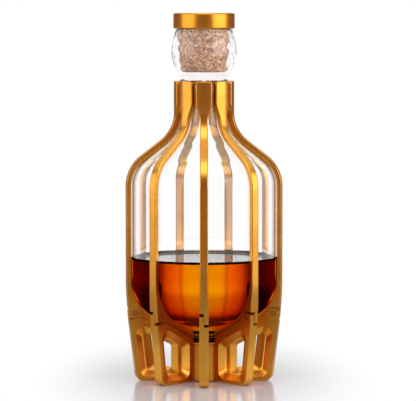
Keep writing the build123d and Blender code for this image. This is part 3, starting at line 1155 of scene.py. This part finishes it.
@dataclass(frozen=True)
class DarkRoom:
    """Dim walls and ground round the set, mirrored by satin metal but not by glass. Sizes in m."""

    radius: float = 2.3
    ground: float = -0.01
    height: float = 2.0
    lid_share: float = 0.9  # of the height, over which a face belongs to the lid
    opening: float = 30.0
    shade: str = "94736A"
    ground_shade: str = "AE9C99"

    def build(self) -> None:
        """Stands the walls: a drum without its lid and without the wall behind the object."""
        deselect()
        bpy.ops.mesh.primitive_cylinder_add(
            vertices=72, radius=self.radius, depth=self.height,
            location=(0, 0, self.ground + self.height / 2),
        )
        room = start_piece("dark_room")
        bpy.ops.object.mode_set(mode="EDIT")
        widest = math.radians(self.opening / 2)

        def is_open(face: Face) -> bool:
            """True for the lid and for the wall's part behind the object."""
            middle = face.calc_center_median()
            return middle.z > self.height * self.lid_share or (
                middle.xy.length > self.radius / 2 and middle.xy.angle(Vector((0, 1))) < widest
            )

        pick_faces(room, is_open)
        bpy.ops.mesh.delete(type="FACE")
        bpy.ops.object.mode_set(mode="OBJECT")
        material, tree = new_material("dark_room")
        normal = add_node(tree, "NewGeometry").outputs["Normal"]
        facing = add_node(tree, "SeparateXYZ", links={"Vector": normal}).outputs["Z"]
        shade = ramp(
            tree, maths(tree, "ABSOLUTE", facing), ((0.3, self.shade), (0.7, self.ground_shade))
        )
        glow = add_node(tree, "Emission", links={"Color": shade}).outputs["Emission"]
        clear = add_node(tree, "BsdfTransparent").outputs["BSDF"]
        polished = add_node(tree, "LightPath").outputs["Is Singular Ray"]
        finish(tree, either(tree, polished, glow, clear))
        dress(room, material)
        show_only(room, in_metal=True, in_glass=False)


@dataclass(frozen=True)
class Lamp:
    """Soft rectangular lamp: its place, width and height in m, and its power in W."""

    name: str
    place: tuple[float, float, float]
    size: Point
    power: float

    def build(self, aim_height: float) -> None:
        """Hangs the lamp so that it points at the bottle, at a height in m."""
        lamp = bpy.data.lights.new(self.name, "AREA")
        lamp.shape = "RECTANGLE"
        lamp.size, lamp.size_y = self.size
        lamp.energy = self.power
        stand(self.name, lamp, Vector(self.place), Vector((0, 0, aim_height)))


@dataclass
class Studio:
    """Pale floor, white surroundings, soft lamps and the camera. Sizes in m."""

    floor_radius: float = 0.3
    floor_colour: str = "E4E6EA"
    floor_roughness: float = 0.16
    fade: Point = (0.05, 0.125)  # where the floor starts and ends to turn white
    fade_depth: float = 0.45  # share of the distance that counts front to back
    dim_colour: str = "AAAAAA"
    dim_reach: Point = (0.08, 0.2)  # where metal starts and ends to mirror it dim
    glow_reach: Point = (0.05, 0.3)
    glow_strength: Point = (0.12, 1.5)  # at the two ends of glow_reach
    surround: float = 0.5
    lamps: tuple[Lamp, ...] = (
        Lamp("lamp_left", (-1.06, -0.56, 0.43), (1.3, 0.9), 5.6),
        Lamp("lamp_right", (1.06, -0.56, 0.43), (1.3, 0.9), 8.3),
        Lamp("lamp_top", (0, -0.55, 1.3), (0.9, 0.9), 3.5),
    )
    sensor_width: float = 36
    camera_distance: float = 1.88
    camera_height: float = 0.265
    camera_side: float = 0.0028
    aim_height: float = 0.1276
    photo_width: float = 0.2945

    def build_floor(self) -> None:
        """Lays the floor: pale and slightly glossy round the object, fading to white outwards."""
        deselect()
        bpy.ops.mesh.primitive_circle_add(vertices=128, radius=self.floor_radius, fill_type="NGON")
        floor = start_piece("studio_floor")
        material, tree = new_material("studio_floor")
        place = object_place(tree)
        away = length(tree, place)
        squeezed = add_node(tree, "VectorMath", {"operation": "MULTIPLY"}, links={"Vector": place})
        squeezed.inputs[1].default_value = (1.0, self.fade_depth, 1.0)
        aside = length(tree, squeezed.outputs["Vector"])
        fade = ranged(tree, aside, self.fade, shape="SMOOTHSTEP")
        ray = add_node(tree, "LightPath").outputs
        clear = maths(tree, "MAXIMUM", ray["Is Camera Ray"], ray["Is Transmission Ray"])
        board = add_node(
            tree, "BsdfPrincipled",
            values={"Base Color": linear(self.floor_colour), "Roughness": self.floor_roughness},
        )
        white = add_node(tree, "Emission", values={"Color": (1, 1, 1, 1)}).outputs["Emission"]
        plain = either(tree, maths(tree, "MULTIPLY", fade, clear), board.outputs["BSDF"], white)
        parts = add_node(tree, "SeparateXYZ", links={"Vector": place})
        warm = add_node(
            tree, "Emission",
            links={
                "Color": Glow().colour(tree, parts),
                "Strength": ranged(tree, away, self.glow_reach, self.glow_strength),
            },
        )
        lit = either(tree, Glow().through_whisky(tree), plain, warm.outputs["Emission"])
        reach = ranged(tree, away, self.dim_reach, shape="SMOOTHSTEP")
        metal = maths(tree, "SUBTRACT", ray["Is Glossy Ray"], ray["Is Transmission Ray"])
        dim = add_node(tree, "Emission", values={"Color": linear(self.dim_colour)})
        mirrored = maths(tree, "MULTIPLY", reach, metal)
        finish(tree, either(tree, mirrored, lit, dim.outputs["Emission"]))
        dress(floor, material)

    def build_world(self) -> None:
        """Sets the surroundings: white where seen, mirrored or through glass, grey as light."""
        world = bpy.data.worlds.new("studio")
        bpy.context.scene.world = world
        world.use_nodes = True
        tree = world.node_tree
        tree.nodes.clear()
        ray = add_node(tree, "LightPath").outputs
        direct = maths(tree, "MAXIMUM", ray["Is Camera Ray"], ray["Is Transmission Ray"])
        grey = self.surround
        colour = add_node(
            tree, "Mix", {"data_type": "RGBA"},
            {"A": (grey, grey, grey, 1), "B": (1, 1, 1, 1)},
            {"Factor": maths(tree, "MAXIMUM", direct, ray["Is Glossy Ray"])},
        )
        shader = add_node(tree, "Background", links={"Color": socket(colour.outputs, "Result")})
        add_node(tree, "OutputWorld", links={"Surface": shader.outputs["Background"]})

    def build_camera(self) -> None:
        """Places the camera at the photo's viewing angle."""
        camera = bpy.data.cameras.new("camera")
        camera.sensor_width = self.sensor_width
        camera.lens = camera.sensor_width * self.camera_distance / self.photo_width
        eye = Vector((self.camera_side, -self.camera_distance, self.camera_height))
        target = Vector((self.camera_side, 0, self.aim_height))
        bpy.context.scene.camera = stand("camera", camera, eye, target)

    def build(self) -> None:
        """Builds the whole studio."""
        bpy.context.scene.view_settings.view_transform = "Standard"
        self.build_floor()
        self.build_world()
        GlowScreen().build()
        GleamCard().build()
        DarkRoom().build()
        for lamp in self.lamps:
            lamp.build(self.aim_height)
        self.build_camera()


def main() -> None:
    """Builds the sub-assemblies in order."""
    logging.basicConfig(level=logging.INFO, format="%(name)s: %(message)s")
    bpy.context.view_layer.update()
    Studio().build()
    Cage().dress_parts()
    Hub().dress_parts()
    Bottle().build()
    Stopper().build()


if __name__ == "__main__":
    main()
